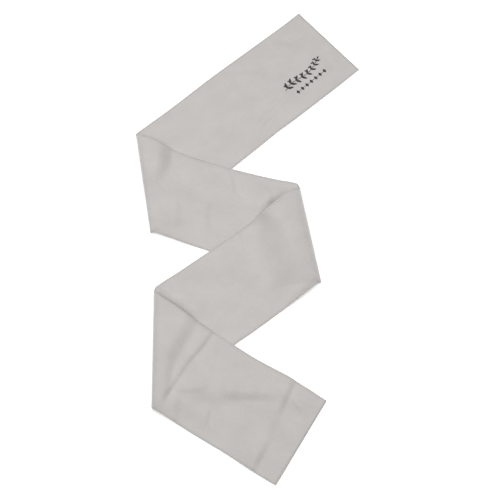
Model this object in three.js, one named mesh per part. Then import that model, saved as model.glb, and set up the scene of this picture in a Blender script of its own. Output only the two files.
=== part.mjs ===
// A long, soft key cover for a digital piano: one strip of brushed cloth that lies on a surface in a
// loose zigzag. Three diagonal folds, each one up and over, lay the next run on top of the last one.
// Millimetres, +X to the right, +Y away from the reader, +Z up. The surface is at Z = 0, and the origin
// is under the middle of the cloth. The two long edges are called back and front, because on every run
// one of them lies further away than the other.
import * as THREE from 'three';

// The cloth
const CLOTH_THICK = 1.5;
const LAYER_GAP = 0.7; // between two layers, at the long edges of the upper one
const LAYER_PUFF = 2.8; // and further in, where springy cloth keeps off the cloth under it
const PUFF_WIDTH = 9;
const FRONT_WIDTH = 12; // where cloth stands up, its front edge is lower over this width
const FRONT_DROOP = 0.15; // by this share of its height
const BEND_RADIUS = 2.2; // of the mid surface, where the lower layer turns up at a fold
const EDGE_CLEAR = 2.5; // a top layer runs on this far past the edge under it
const EDGE_RAMP = 60; // and then comes down to the surface in this length
const ROLL_SQUARENESS = 2.5; // a roll's side is a quarter ellipse at 2, and squarer above that

// How finely the cloth is divided
const STRIPS_ACROSS = 17;
const BEND_STEPS = 4;
const CREST_STEPS = 5;
const STEP_ALONG = 9.5;

// The two cut ends, each from its back corner to its front corner
const PRINTED_END = { back: [86.4, 398.4], front: [186, 286] };
const PLAIN_END = { back: [114.8, -277.2], front: [38.8, -398.9] };

// The folds. back and front are the ends of the outer line of the fold. The edges slip along that line
// from the lower layer to the upper one. The loop rows say how high the upper layer stands off what
// it lies on, at a share along the fold: it rises up to crest, is level up to fall and is down again at
// foot, all measured from the outer line. The kink rows add a narrower step, where the cloth has set
// in a line of its own. A fall is even at a skew of 1, steepest near its foot above that, and steepest
// near its start below that. On the outer line the cloth stands at the share of the height under
// outer, and it curves up to the full height on the way to fall.
const FOLDS = [
  {
    back: [-184.5, 165],
    front: [-153.8, -10.5],
    slipBack: 5,
    slipFront: -1,
    loopSkew: 1.35,
    kinkSkew: 1.2,
    outer: 1,
    loop: [
      { along: 0, height: 2, crest: 12, fall: 20, foot: 60 },
      { along: 0.3, height: 4, crest: 12, fall: 18, foot: 60 },
      { along: 0.5, height: 6, crest: 12, fall: 16, foot: 64 },
      { along: 0.7, height: 8, crest: 12, fall: 18, foot: 88 },
      { along: 0.88, height: 6, crest: 11, fall: 20, foot: 88 },
      { along: 1, height: 2, crest: 9, fall: 20, foot: 88 },
    ],
    kink: [
      { along: 0, height: 6, fall: 24, foot: 54 },
      { along: 0.1, height: 10, fall: 24, foot: 56 },
      { along: 0.2, height: 13, fall: 25, foot: 58 },
      { along: 0.3, height: 13, fall: 24, foot: 54 },
      { along: 0.4, height: 11, fall: 20, foot: 49 },
      { along: 0.5, height: 7, fall: 14, foot: 40 },
      { along: 0.58, height: 2, fall: 11, foot: 35 },
      { along: 0.68, height: 0, fall: 10, foot: 34 },
    ],
  },
  {
    back: [79.2, 74.3],
    front: [110.7, -93],
    slipBack: 13,
    slipFront: -1,
    loopSkew: 1,
    kinkSkew: 0.8,
    outer: 0.5,
    loop: [
      { along: 0, height: 4, crest: 15, fall: 26, foot: 80 },
      { along: 0.3, height: 6, crest: 16, fall: 32, foot: 92 },
      { along: 0.6, height: 5, crest: 15, fall: 32, foot: 96 },
      { along: 0.86, height: 4, crest: 13, fall: 26, foot: 90 },
      { along: 1, height: 1.6, crest: 11, fall: 22, foot: 84 },
    ],
    kink: [
      { along: 0, height: 13, fall: 51, foot: 77 },
      { along: 0.16, height: 14, fall: 54, foot: 82 },
      { along: 0.24, height: 15.5, fall: 54, foot: 86 },
      { along: 0.34, height: 17.5, fall: 47, foot: 90 },
      { along: 0.42, height: 19.5, fall: 39, foot: 90 },
      { along: 0.51, height: 20, fall: 35, foot: 90 },
      { along: 0.6, height: 20, fall: 33, foot: 92 },
      { along: 0.79, height: 16, fall: 33, foot: 92 },
      { along: 0.9, height: 11, fall: 32, foot: 90 },
      { along: 1, height: 5, fall: 31, foot: 86 },
    ],
  },
  {
    back: [-144.6, -101.6],
    front: [-141.4, -290],
    slipBack: 9.5,
    slipFront: 4,
    loopSkew: 1.35,
    kinkSkew: 1.35,
    outer: 0.75,
    loop: [
      { along: 0, height: 14, crest: 13, fall: 44, foot: 84 },
      { along: 0.2, height: 13.5, crest: 13, fall: 42, foot: 82 },
      { along: 0.35, height: 12, crest: 13, fall: 31, foot: 68 },
      { along: 0.45, height: 11.5, crest: 12, fall: 23, foot: 58 },
      { along: 0.52, height: 10.5, crest: 12, fall: 16, foot: 50 },
      { along: 0.58, height: 9.5, crest: 11, fall: 13, foot: 43 },
      { along: 0.65, height: 8, crest: 10, fall: 11, foot: 36 },
      { along: 0.75, height: 7, crest: 9, fall: 10, foot: 31 },
      { along: 1, height: 5, crest: 9, fall: 9, foot: 28 },
    ],
    kink: [
      { along: 0.28, height: 2, fall: 98, foot: 109 },
      { along: 0.38, height: 4, fall: 84, foot: 95 },
      { along: 0.52, height: 4.4, fall: 65, foot: 76 },
      { along: 0.65, height: 3.4, fall: 44, foot: 55 },
      { along: 0.75, height: 3.8, fall: 32, foot: 43 },
      { along: 0.85, height: 3.6, fall: 20, foot: 31 },
      { along: 0.92, height: 2.6, fall: 12, foot: 22 },
      { along: 1, height: 0, fall: 10, foot: 19 },
    ],
  },
];

// The four runs of cloth between the ends and the folds. A drift row says how far an edge swings out
// of its straight line towards the reader, at a share along the run. A droop row says by what share of
// its height standing cloth hangs at the back edge, and droopWidth how far in it does so.
const RUNS = [
  // The printed run
  {
    backDrift: [
      { at: 0.1, by: 0.9 },
      { at: 0.3, by: 0.2 },
      { at: 0.55, by: -0.7 },
      { at: 0.8, by: 0.9 },
    ],
    frontDrift: [
      { at: 0.12, by: 0.2 },
      { at: 0.24, by: -0.3 },
      { at: 0.34, by: -1.1 },
      { at: 0.4, by: -2.2 },
      { at: 0.5, by: -1.6 },
    ],
    droopWidth: 10,
    droop: [{ at: 0, by: 0 }, { at: 1, by: 0 }],
  },
  // The second run
  {
    backDrift: [
      { at: 0.1, by: 3.3 },
      { at: 0.25, by: 6.6 },
      { at: 0.37, by: 8.7 },
      { at: 0.6, by: 9.2 },
      { at: 0.76, by: 6.6 },
      { at: 0.88, by: 3.7 },
      { at: 0.95, by: 0.9 },
    ],
    frontDrift: [
      { at: 0.03, by: -1.1 },
      { at: 0.1, by: -0.6 },
      { at: 0.18, by: 0.6 },
      { at: 0.4, by: 2.2 },
    ],
    droopWidth: 10,
    droop: [{ at: 0, by: 0 }, { at: 1, by: 0 }],
  },
  // The third run
  {
    backDrift: [
      { at: 0.085, by: -5.2 },
      { at: 0.18, by: -5.4 },
      { at: 0.25, by: -4.2 },
      { at: 0.31, by: -1.4 },
      { at: 0.37, by: 0 },
      { at: 0.6, by: 1.1 },
      { at: 0.8, by: 0.7 },
    ],
    frontDrift: [
      { at: 0.02, by: -1 },
      { at: 0.05, by: -0.4 },
      { at: 0.1, by: 0.2 },
      { at: 0.16, by: 0.4 },
      { at: 0.3, by: 0.4 },
      { at: 0.42, by: 0 },
      { at: 0.5, by: -1 },
      { at: 0.6, by: -0.9 },
    ],
    droopWidth: 10,
    droop: [
      { at: 0, by: 0 },
      { at: 0.1, by: 0.1 },
      { at: 0.17, by: 0.45 },
      { at: 0.22, by: 0.65 },
      { at: 0.28, by: 0.45 },
      { at: 0.4, by: 0 },
      { at: 1, by: 0 },
    ],
  },
  // The last run
  {
    backDrift: [
      { at: 0.05, by: -0.9 },
      { at: 0.12, by: -0.7 },
      { at: 0.185, by: 0.4 },
      { at: 0.245, by: 1.4 },
      { at: 0.31, by: 2.4 },
      { at: 0.45, by: 3.1 },
      { at: 0.58, by: 3.3 },
      { at: 0.7, by: 1.1 },
      { at: 0.85, by: -0.7 },
    ],
    frontDrift: [
      { at: 0.05, by: -1.1 },
      { at: 0.15, by: -1 },
      { at: 0.3, by: -0.3 },
      { at: 0.5, by: -0.7 },
      { at: 0.62, by: -0.8 },
      { at: 0.88, by: 0.5 },
    ],
    droopWidth: 6,
    droop: [
      { at: 0, by: 0.25 },
      { at: 0.05, by: 0.5 },
      { at: 0.1, by: 0.6 },
      { at: 0.2, by: 0.5 },
      { at: 0.32, by: 0.6 },
      { at: 0.45, by: 0 },
      { at: 1, by: 0 },
    ],
  },
];

// The main creases. Each is a soft ridge line: its rows are a plan place and the ridge's height there,
// and left and right are the widths of its two slopes, seen when walking from its first place to its
// last.
const CREASES = [
  { run: 1, left: 7, right: 20, ridge: [[-38, 104, 0], [-30, 78, 2.3], [-27, 60, 1.9], [-26, 42, 0]] },
  { run: 1, left: 7, right: 22, ridge: [[-32, 66, 0], [-16, 47, 2], [-4, 37, 2], [14, 28, 0]] },
  { run: 1, left: 12, right: 26, ridge: [[-66, 56, 0], [-70, 26, 2.4], [-70, 0, 2.4], [-62, -30, 0]] },
  {
    run: 1,
    left: 12,
    right: 44,
    ridge: [
      [60, 74, 0],
      [44, 58, 3],
      [30, 46, 7.5],
      [19, 37, 4.5],
      [2, 23, 0],
    ],
  },
  {
    run: 2,
    left: 30,
    right: 15,
    ridge: [
      [-141, -96, 0],
      [-127, -106, 5],
      [-112, -117, 5.5],
      [-86, -134, 4.5],
      [-57, -152, 0],
    ],
  },
  { run: 2, left: 16, right: 7, ridge: [[-16, -4, 0], [-8, -20, 1.9], [-2, -50, 0]] },
  {
    run: 3,
    left: 12,
    right: 36,
    ridge: [
      [74, -222, 0],
      [62, -243, 4],
      [54, -262, 5.4],
      [44, -284, 4],
      [36, -302, 1.3],
      [30, -314, 1.6],
      [27, -326, 1.2],
      [20, -340, 3],
      [11, -356, 4.6],
      [3, -372, 3.4],
      [-4, -390, 0],
    ],
  },
  {
    run: 3,
    left: 40,
    right: 17,
    ridge: [
      [-46, -262, 0],
      [-20, -263, 4.4],
      [4, -263, 5.8],
      [26, -264, 5],
      [56, -270, 0],
    ],
  },
  {
    run: 3,
    left: 30,
    right: 26,
    ridge: [
      [-92, -252, 0],
      [-64, -258, 3],
      [-40, -262, 4.6],
      [0, -262, 0],
    ],
  },
  {
    run: 3,
    left: 22,
    right: 10,
    ridge: [
      [-118, -260, 0],
      [-98, -260, 2.2],
      [-78, -258, 2],
      [-58, -257, 0],
    ],
  },
  { run: 3, left: 16, right: 9, ridge: [[56, -262, 0], [74, -284, 2.9], [94, -308, 0]] },
  { run: 3, left: 9, right: 20, ridge: [[-58, -278, 0], [-64, -300, 2.8], [-70, -328, 0]] },
  {
    run: 3,
    left: 16,
    right: 14,
    ridge: [
      [-108, -258, 0],
      [-113, -284, 3.8],
      [-113, -300, 3],
      [-116, -318, 0],
    ],
  },
];

const lerp = (a, b, share) => a + (b - a) * share;
const lerpPlace = (a, b, share) => [lerp(a[0], b[0], share), lerp(a[1], b[1], share)];
const clamp = (value, low, high) => Math.min(Math.max(value, low), high);
// From 0 to 1 with level ends, as the share goes from 0 to 1
const ease = (share) => 0.5 - 0.5 * Math.cos(Math.PI * clamp(share, 0, 1));

// A straight line on the plan, with the ways to measure along it, to its right and to a place on it
function planLine(from, to) {
  const length = Math.hypot(to[0] - from[0], to[1] - from[1]);
  const way = [(to[0] - from[0]) / length, (to[1] - from[1]) / length];
  return {
    length,
    way,
    at: (reach) => [from[0] + way[0] * reach, from[1] + way[1] * reach],
    along: (place) => (place[0] - from[0]) * way[0] + (place[1] - from[1]) * way[1],
    right: (place) => (place[0] - from[0]) * way[1] - (place[1] - from[1]) * way[0],
  };
}

// A smooth curve through rows that each have a place in [0, 1] under key and a value under name
function throughRows(rows, key, name) {
  const slope = (i) => {
    const before = rows[Math.max(i - 1, 0)];
    const after = rows[Math.min(i + 1, rows.length - 1)];
    return (after[name] - before[name]) / (after[key] - before[key]);
  };
  return (share) => {
    let i = 0;
    while (i < rows.length - 2 && share > rows[i + 1][key]) i += 1;
    const span = rows[i + 1][key] - rows[i][key];
    const t = clamp((share - rows[i][key]) / span, 0, 1);
    const start = rows[i][name];
    const rise = rows[i + 1][name] - start;
    const bendIn = slope(i) * span - rise;
    const bendOut = rise - slope(i + 1) * span;
    return start + rise * t + t * (1 - t) * (bendIn * (1 - t) + bendOut * t);
  };
}

// A long edge of a run: a straight line with its drift. toFront is 1 where the line's right is the
// reader's side, and -1 where its left is.
function longEdge(from, to, driftRows) {
  const line = planLine(from, to);
  const side = [line.way[1], -line.way[0]];
  const toFront = side[1] < 0 ? 1 : -1;
  const drift = throughRows([{ at: 0, by: 0 }, ...driftRows, { at: 1, by: 0 }], 'at', 'by');
  const shareOf = (place) => clamp(line.along(place) / line.length, 0, 1);
  return {
    line,
    shareOf,
    at: (share) => {
      const out = drift(share) * toFront;
      const place = line.at(share * line.length);
      return [place[0] + side[0] * out, place[1] + side[1] * out];
    },
    // How far a place lies past this edge, on the reader's side
    past: (place) => line.right(place) * toFront - drift(shareOf(place)),
  };
}

// Cloth that stands up along a fold's outer line, and falls to nothing further in
function fallFrom(rows, skew, outer) {
  const [height, start, end] = ['height', 'fall', 'foot'].map((name) => throughRows(rows, 'along', name));
  return (along, distance) => {
    const from = start(along);
    const toGo = 1 - clamp(distance / from, 0, 1);
    const gone = clamp((distance - from) / (end(along) - from), 0, 1);
    return height(along) * lerp(1, outer, toGo ** 2) * (1 - ease(gone ** skew));
  };
}

const foldLines = FOLDS.map((fold) => ({
  ...fold,
  line: planLine(fold.back, fold.front),
  crest: throughRows(fold.loop, 'along', 'crest'),
  falls: [
    fallFrom(fold.loop, fold.loopSkew, fold.outer),
    fallFrom(fold.kink, fold.kinkSkew, fold.outer),
  ],
}));

// A soft ridge along a chain of straight lines, as a function that gives its height at a place
function creaseThrough(crease) {
  const lines = crease.ridge.slice(1).map((row, i) => planLine(crease.ridge[i], row));
  return (place) => {
    let nearest = Infinity;
    let ridge = 0;
    let width = crease.left;
    lines.forEach((line, i) => {
      const reach = clamp(line.along(place), 0, line.length);
      const foot = line.at(reach);
      const distance = Math.hypot(place[0] - foot[0], place[1] - foot[1]);
      if (distance < nearest) {
        nearest = distance;
        ridge = lerp(crease.ridge[i][2], crease.ridge[i + 1][2], ease(reach / line.length));
        width = line.right(place) > 0 ? crease.right : crease.left;
      }
    });
    return ridge * ease(1 - nearest / width);
  };
}

// Each run reaches from the outer line of one fold to the outer line of the next. Its lower end stops
// short of the front corner by the slip, and its upper end starts past the back corner by it.
const runs = RUNS.map((run, index) => {
  const before = index > 0 ? foldLines[index - 1] : null;
  const after = index < FOLDS.length ? foldLines[index] : null;
  const start = before
    ? { back: before.line.at(before.slipBack), front: before.front }
    : PRINTED_END;
  const end = after
    ? { back: after.back, front: after.line.at(after.line.length - after.slipFront) }
    : PLAIN_END;
  const back = longEdge(start.back, end.back, run.backDrift);
  const front = longEdge(start.front, end.front, run.frontDrift);
  const droop = throughRows(run.droop, 'at', 'by');
  const creases = CREASES.filter((crease) => crease.run === index).map(creaseThrough);
  return { index, before, after, back, front, droop, droopWidth: run.droopWidth, creases };
});

// Distance of a place from the outer line of a fold, inwards, whichever side the cloth lies on
const foldDistance = (fold, place) => Math.abs(fold.line.right(place));
const foldShare = (fold, place) => clamp(fold.line.along(place) / fold.line.length, 0, 1);

// The share of a long edge at which it lies a given distance from the outer line of a fold
function shareAt(edge, fold, distance) {
  const lean = Math.abs(edge.line.way[0] * fold.line.way[1] - edge.line.way[1] * fold.line.way[0]);
  return distance / (lean * edge.line.length);
}

// Height of the underside of a run, away from the steep outer part of its folds
function underside(run, place) {
  let height = run.creases.reduce((sum, creaseAt) => sum + creaseAt(place), 0);
  if (run.before) {
    const past = runs[run.index - 1].front.past(place);
    const fromBack = run.back.past(place);
    const fromFront = -run.front.past(place);
    const gap = lerp(LAYER_GAP, LAYER_PUFF, ease(Math.min(fromBack, fromFront) / PUFF_WIDTH));
    height += (CLOTH_THICK + gap) * (1 - ease((past - EDGE_CLEAR) / EDGE_RAMP));
    const along = foldShare(run.before, place);
    const distance = foldDistance(run.before, place);
    const standing = run.before.falls.reduce((sum, fallAt) => sum + fallAt(along, distance), 0);
    const hanging = run.droop(run.back.shareOf(place)) * (1 - ease(fromBack / run.droopWidth));
    const lowered = FRONT_DROOP * (1 - ease(fromFront / FRONT_WIDTH));
    height += standing * (1 - hanging) * (1 - lowered);
  }
  return Math.max(height, 0);
}

// Height of the mid surface. Near its first fold a run rises on a rounded side from the outer line of
// the fold to the crest of its loop, and near its last fold it turns up on a quarter circle.
function midHeight(run, place) {
  const lying = CLOTH_THICK / 2 + underside(run, place);
  if (!run.before) return lying;
  const crest = run.before.crest(foldShare(run.before, place));
  const closeness = 1 - clamp(foldDistance(run.before, place) / crest, 0, 1);
  const risen = (1 - closeness ** ROLL_SQUARENESS) ** (1 / ROLL_SQUARENESS);
  return lerp(CLOTH_THICK / 2 + BEND_RADIUS, lying, risen);
}

// How far a roll has come in from its outer line, as a share of its crest, at an angle up its side
function rollShare(angle) {
  const cosine = Math.cos(angle);
  const even = (cosine ** ROLL_SQUARENESS + Math.sin(angle) ** ROLL_SQUARENESS) ** (1 / ROLL_SQUARENESS);
  return 1 - cosine / even;
}

// The rows of one run, each a function that gives a point for a share across the cloth
function runRows(run) {
  const rows = [];
  const slide = (fold, share, across) => lerp(fold.slipBack, fold.slipFront, across) * share;
  const placeAt = (shareBack, shareFront, across) =>
    lerpPlace(run.back.at(shareBack), run.front.at(shareFront), across);
  const shares = (fold, distance) => [shareAt(run.back, fold, distance), shareAt(run.front, fold, distance)];
  // How much of the fold's slip is still to come, at a step of the bend that counts from the lower layer
  const slipLeft = (step) => 1 - ease(step / (2 * BEND_STEPS));

  const crestOf = (across) => (run.before ? run.before.crest(across) : 0);
  if (run.before) {
    const fold = run.before;
    for (let i = 0; i < CREST_STEPS; i += 1) {
      rows.push((across) => {
        const distance = crestOf(across) * rollShare((Math.PI / 2) * (i / CREST_STEPS));
        const place = placeAt(...shares(fold, distance), across);
        const height = midHeight(run, place);
        const shift = -slide(fold, slipLeft(BEND_STEPS * (1 + i / CREST_STEPS)), across);
        return [place[0] + fold.line.way[0] * shift, place[1] + fold.line.way[1] * shift, height];
      });
    }
  }
  const length = (run.back.line.length + run.front.line.length) / 2;
  const count = Math.round(length / STEP_ALONG);
  for (let i = 0; i <= count; i += 1) {
    rows.push((across) => {
      const first = run.before ? shares(run.before, crestOf(across)) : [0, 0];
      const last = run.after ? shares(run.after, BEND_RADIUS) : [0, 0];
      const shareBack = lerp(first[0], 1 - last[0], i / count);
      const shareFront = lerp(first[1], 1 - last[1], i / count);
      const place = placeAt(shareBack, shareFront, across);
      return [place[0], place[1], midHeight(run, place)];
    });
  }
  if (run.after) {
    const fold = run.after;
    for (let i = 1; i < BEND_STEPS; i += 1) {
      rows.push((across) => {
        const angle = (Math.PI / 2) * (i / BEND_STEPS);
        const [shareBack, shareFront] = shares(fold, BEND_RADIUS * (1 - Math.sin(angle)));
        const place = placeAt(1 - shareBack, 1 - shareFront, across);
        const height = CLOTH_THICK / 2 + BEND_RADIUS * (1 - Math.cos(angle));
        const shift = slide(fold, 1 - slipLeft(i), across);
        return [place[0] + fold.line.way[0] * shift, place[1] + fold.line.way[1] * shift, height];
      });
    }
  }
  return rows;
}

// The strip as one closed body: the mid surface, moved half a thickness to each side along its normal
function clothGeometry() {
  const rows = runs.flatMap(runRows);
  const across = STRIPS_ACROSS + 1;
  const mid = rows.map((row) =>
    Array.from({ length: across }, (_, j) => new THREE.Vector3(...row(j / STRIPS_ACROSS))),
  );
  const normalAt = (i, j) => {
    const before = mid[Math.max(i - 1, 0)][j];
    const after = mid[Math.min(i + 1, rows.length - 1)][j];
    const back = mid[i][Math.max(j - 1, 0)];
    const front = mid[i][Math.min(j + 1, across - 1)];
    const along = after.clone().sub(before);
    return along.cross(front.clone().sub(back)).normalize();
  };
  const points = [];
  for (const side of [1, -1]) {
    for (let i = 0; i < rows.length; i += 1) {
      for (let j = 0; j < across; j += 1) {
        const point = mid[i][j].clone().addScaledVector(normalAt(i, j), (side * CLOTH_THICK) / 2);
        points.push(point.x, point.y, point.z);
      }
    }
  }
  const layer = rows.length * across;
  const index = [];
  const quad = (a, b, c, d) => index.push(a, b, c, a, c, d);
  for (let i = 0; i + 1 < rows.length; i += 1) {
    for (let j = 0; j + 1 < across; j += 1) {
      const corner = i * across + j;
      quad(corner, corner + across, corner + across + 1, corner + 1);
      quad(layer + corner, layer + corner + 1, layer + corner + across + 1, layer + corner + across);
    }
  }
  // The rim joins the two faces all round
  const rim = [];
  for (let j = 0; j < across - 1; j += 1) rim.push(j);
  for (let i = 0; i < rows.length - 1; i += 1) rim.push(i * across + across - 1);
  for (let j = across - 1; j > 0; j -= 1) rim.push((rows.length - 1) * across + j);
  for (let i = rows.length - 1; i > 0; i -= 1) rim.push(i * across);
  rim.forEach((corner, k) => {
    const next = rim[(k + 1) % rim.length];
    quad(corner, next, layer + next, layer + corner);
  });
  const geometry = new THREE.BufferGeometry();
  geometry.setAttribute('position', new THREE.Float32BufferAttribute(points, 3));
  geometry.setIndex(index);
  geometry.computeVertexNormals();
  return geometry;
}

const brushedCloth = new THREE.MeshStandardMaterial({ color: 0xbab6b3, roughness: 0.95, metalness: 0 });
const keyCover = new THREE.Mesh(clothGeometry(), brushedCloth);
keyCover.name = 'key_cover_cloth';

const cover = new THREE.Group();
cover.add(keyCover);

export default cover;
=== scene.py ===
# %% [markdown]
# A key cover for a digital piano. The real thing is one long strip of softly brushed, pale grey
# cloth, cut square at both ends and overlocked all round, with a small dark print near one end.
# Here it lies on a white surface in a loose zigzag: four runs, and three diagonal folds that each
# go up and over, so every run lies on top of the one before it.
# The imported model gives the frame, so everything below is in its places and sizes.

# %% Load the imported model
import math
import random

import bpy
import numpy as np
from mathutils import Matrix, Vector


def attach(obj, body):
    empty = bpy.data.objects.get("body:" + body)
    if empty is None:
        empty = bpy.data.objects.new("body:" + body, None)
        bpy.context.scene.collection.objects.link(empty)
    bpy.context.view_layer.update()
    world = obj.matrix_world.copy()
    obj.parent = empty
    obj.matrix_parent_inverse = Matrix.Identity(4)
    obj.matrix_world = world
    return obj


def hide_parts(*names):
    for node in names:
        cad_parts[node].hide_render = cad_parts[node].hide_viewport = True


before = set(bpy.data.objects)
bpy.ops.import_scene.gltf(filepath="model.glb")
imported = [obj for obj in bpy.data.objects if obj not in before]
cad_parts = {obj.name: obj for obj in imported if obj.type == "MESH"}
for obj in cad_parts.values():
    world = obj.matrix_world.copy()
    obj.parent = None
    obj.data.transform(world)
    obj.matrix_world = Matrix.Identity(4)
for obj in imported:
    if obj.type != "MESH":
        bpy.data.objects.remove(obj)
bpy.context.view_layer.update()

# %% [markdown]
# The camera comes first. The outline of the strip in the photograph fits a strip of constant width
# only when it is seen from rather high up, about 69 degrees above the table, from a step and a half
# away. A long lens keeps the far end from looking much narrower than the near one.

# %% The camera
MM = 0.001
CAMERA_ELEVATION = math.radians(69.18)
CAMERA_DISTANCE = 1444 * MM
CAMERA_TARGET = Vector((2 * MM, -39.5 * MM, 0))
SENSOR_WIDTH = 36.0
FOCAL_LENGTH = 66.46


def add_to_scene(thing):
    bpy.context.scene.collection.objects.link(thing)
    return thing


def make_camera():
    camera = add_to_scene(bpy.data.objects.new("camera", bpy.data.cameras.new("camera")))
    back = Vector((0, -math.cos(CAMERA_ELEVATION), math.sin(CAMERA_ELEVATION)))
    camera.location = CAMERA_TARGET + CAMERA_DISTANCE * back
    camera.rotation_mode = "QUATERNION"
    camera.rotation_quaternion = back.to_track_quat("Z", "Y")
    camera.data.sensor_width = SENSOR_WIDTH
    camera.data.lens = FOCAL_LENGTH
    camera.data.dof.use_dof = False
    bpy.context.scene.camera = camera
    return camera


camera = make_camera()
print("camera at", tuple(round(part, 3) for part in camera.location))

# %% [markdown]
# Cloth in folds is hard to make with a simulation when the folds have to lie exactly as they do in
# a picture. So the strip is worked out, as a pattern maker would: each fold has a straight outer
# line on the plan, each run reaches from one fold to the next, and short tables say how high the
# cloth stands where it loops back over itself. All lengths below are millimetres. The two long
# edges are called back and front, because on every run one of them lies further away.

# %% The sizes of the strip
FLAT_WIDTH = 150
CLOTH_THICK = 1.5
LAYER_GAP = 0.6  # between two layers, at the long edges of the upper one
LAYER_PUFF = 2.8  # and further in, where springy cloth keeps off the cloth under it
PUFF_WIDTH = 9
BEND_RADIUS = 2.2  # of the mid surface, where the lower layer turns up at a fold
FRONT_WIDTH = 12  # where cloth stands up, its front edge is lower over this width
FRONT_DROOP = 0.15  # by this share of its height
EDGE_CLEAR = 2.5  # a top layer runs on this far past the edge under it
EDGE_RAMP = 60  # and then comes down in this length
EDGE_ROUND = 4  # the cloth thins towards its sewn edges over this width
EDGE_THICK = 0.5  # to this thickness
ROLL_SQUARENESS = 2.5  # a roll's side is a quarter ellipse at 2, and squarer above that

PRINTED_END = {"back": (86.4, 398.4), "front": (186, 286)}
PLAIN_END = {"back": (114.8, -277.2), "front": (38.8, -398.9)}

# %% [markdown]
# Each fold has a straight outer line, from a back corner to a front one. The edges slip along it
# from the lower layer to the upper one. The loop rows say how high the upper layer stands at a share
# along the fold: it rises up to crest, is level up to fall and is down again at foot, all measured
# from the outer line. The kink rows add a narrower step, where the cloth has set in a line of its
# own. A fall is even at a skew of 1, steepest near its foot above that and near its top below it. On
# the outer line the cloth stands at the share of the height under outer, and it curves up to the
# full height on the way to fall.

# %% The three folds
FOLDS = [
    {
        "back": (-184.5, 165), "front": (-153.8, -10.5), "slip_back": 5, "slip_front": -1,
        "loop_skew": 1.35, "kink_skew": 1.2, "outer": 1,
        "loop": [
            {"along": 0.00, "height": 2, "crest": 12, "fall": 20, "foot": 60},
            {"along": 0.30, "height": 4, "crest": 12, "fall": 18, "foot": 60},
            {"along": 0.50, "height": 6, "crest": 12, "fall": 16, "foot": 64},
            {"along": 0.70, "height": 8, "crest": 12, "fall": 18, "foot": 88},
            {"along": 0.88, "height": 6, "crest": 11, "fall": 20, "foot": 88},
            {"along": 1.00, "height": 2, "crest": 9, "fall": 20, "foot": 88},
        ],
        "kink": [
            {"along": 0.00, "height": 6, "fall": 24, "foot": 54},
            {"along": 0.10, "height": 10, "fall": 24, "foot": 56},
            {"along": 0.20, "height": 13, "fall": 25, "foot": 58},
            {"along": 0.30, "height": 13, "fall": 24, "foot": 54},
            {"along": 0.40, "height": 11, "fall": 20, "foot": 49},
            {"along": 0.50, "height": 7, "fall": 14, "foot": 40},
            {"along": 0.58, "height": 2, "fall": 11, "foot": 35},
            {"along": 0.68, "height": 0, "fall": 10, "foot": 34},
        ],
    },
    {
        "back": (79.2, 74.3), "front": (110.7, -93), "slip_back": 13, "slip_front": -1,
        "loop_skew": 1, "kink_skew": 0.8, "outer": 0.5,
        "loop": [
            {"along": 0.00, "height": 4, "crest": 15, "fall": 26, "foot": 80},
            {"along": 0.30, "height": 6, "crest": 16, "fall": 32, "foot": 92},
            {"along": 0.60, "height": 5, "crest": 15, "fall": 32, "foot": 96},
            {"along": 0.86, "height": 4, "crest": 13, "fall": 26, "foot": 90},
            {"along": 1.00, "height": 1.6, "crest": 11, "fall": 22, "foot": 84},
        ],
        "kink": [
            {"along": 0.00, "height": 13, "fall": 51, "foot": 77},
            {"along": 0.16, "height": 14, "fall": 54, "foot": 82},
            {"along": 0.24, "height": 15.5, "fall": 54, "foot": 86},
            {"along": 0.34, "height": 17.5, "fall": 47, "foot": 90},
            {"along": 0.42, "height": 19.5, "fall": 39, "foot": 90},
            {"along": 0.51, "height": 20, "fall": 35, "foot": 90},
            {"along": 0.60, "height": 20, "fall": 33, "foot": 92},
            {"along": 0.79, "height": 16, "fall": 33, "foot": 92},
            {"along": 0.90, "height": 11, "fall": 32, "foot": 90},
            {"along": 1.00, "height": 5, "fall": 31, "foot": 86},
        ],
    },
    {
        "back": (-144.6, -101.6), "front": (-141.4, -290), "slip_back": 9.5, "slip_front": 4,
        "loop_skew": 1.35, "kink_skew": 1.35, "outer": 0.75,
        "loop": [
            {"along": 0.00, "height": 14, "crest": 13, "fall": 44, "foot": 84},
            {"along": 0.20, "height": 13.5, "crest": 13, "fall": 42, "foot": 82},
            {"along": 0.35, "height": 12, "crest": 13, "fall": 31, "foot": 68},
            {"along": 0.45, "height": 11.5, "crest": 12, "fall": 23, "foot": 58},
            {"along": 0.52, "height": 10.5, "crest": 12, "fall": 16, "foot": 50},
            {"along": 0.58, "height": 9.5, "crest": 11, "fall": 13, "foot": 43},
            {"along": 0.65, "height": 8, "crest": 10, "fall": 11, "foot": 36},
            {"along": 0.75, "height": 7, "crest": 9, "fall": 10, "foot": 31},
            {"along": 1.00, "height": 5, "crest": 9, "fall": 9, "foot": 28},
        ],
        "kink": [
            {"along": 0.28, "height": 2, "fall": 98, "foot": 109},
            {"along": 0.38, "height": 4, "fall": 84, "foot": 95},
            {"along": 0.52, "height": 4.4, "fall": 65, "foot": 76},
            {"along": 0.65, "height": 3.4, "fall": 44, "foot": 55},
            {"along": 0.75, "height": 3.8, "fall": 32, "foot": 43},
            {"along": 0.85, "height": 3.6, "fall": 20, "foot": 31},
            {"along": 0.92, "height": 2.6, "fall": 12, "foot": 22},
            {"along": 1.00, "height": 0, "fall": 10, "foot": 19},
        ],
    },
]
for row in FOLDS:
    print("fold from", row["back"], "to", row["front"])

# %% [markdown]
# No long edge of soft cloth lies quite straight. The back and front rows say how far an edge swings
# out of its straight line towards the reader, at a share along its run. The droop rows say by what
# share of its height standing cloth hangs at the back edge, and droop_width how far in it does so.

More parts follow.
